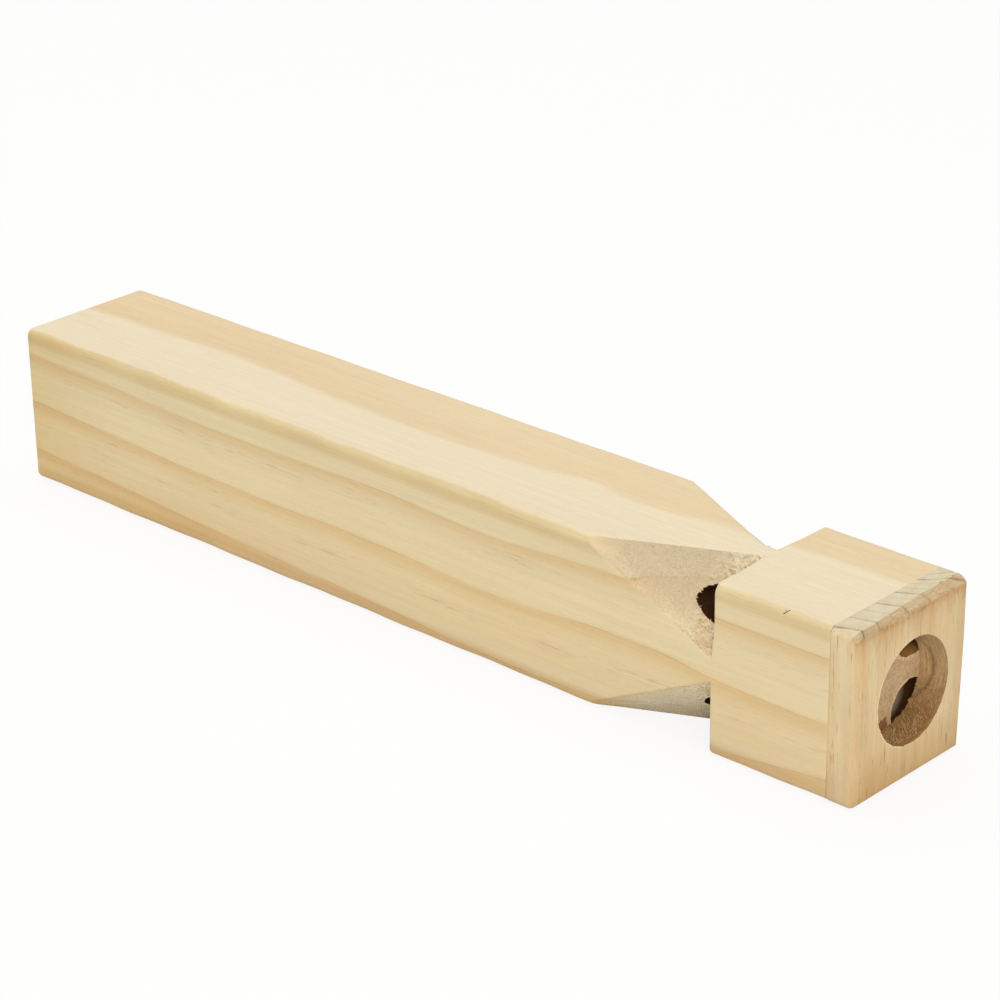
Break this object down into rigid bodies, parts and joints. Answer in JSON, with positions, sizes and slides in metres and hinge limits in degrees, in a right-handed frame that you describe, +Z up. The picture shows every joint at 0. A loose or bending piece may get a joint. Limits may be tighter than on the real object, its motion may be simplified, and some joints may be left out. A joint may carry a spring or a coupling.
{
  "type": "train whistle",
  "caption": "Square pine bar whistle with stopped pipes bored along its corners, sloping window notches, dowel fipple plugs and a glued end plate with a round blow hole.",
  "frame": {"origin": "middle of the whistle's length and width, on the face that it rests on", "axes": "+X along the bar towards the blown end, +Y to the far side, +Z up"},
  "size_m": [0.2, 0.03, 0.0313],
  "materials": {
    "bar_pine": "sanded, unfinished",
    "cap_pine": "sanded, unfinished",
    "dowel": "smooth, unfinished"
  },
  "bodies": {
    "root": {"whistle_body": "bar_pine", "mouthpiece_cap": "cap_pine", "fipple_plug_far_top": "dowel", "fipple_plug_near_top": "dowel", "fipple_plug_near_bottom": "dowel", "fipple_plug_far_bottom": "dowel"}
  },
  "joints": []
}
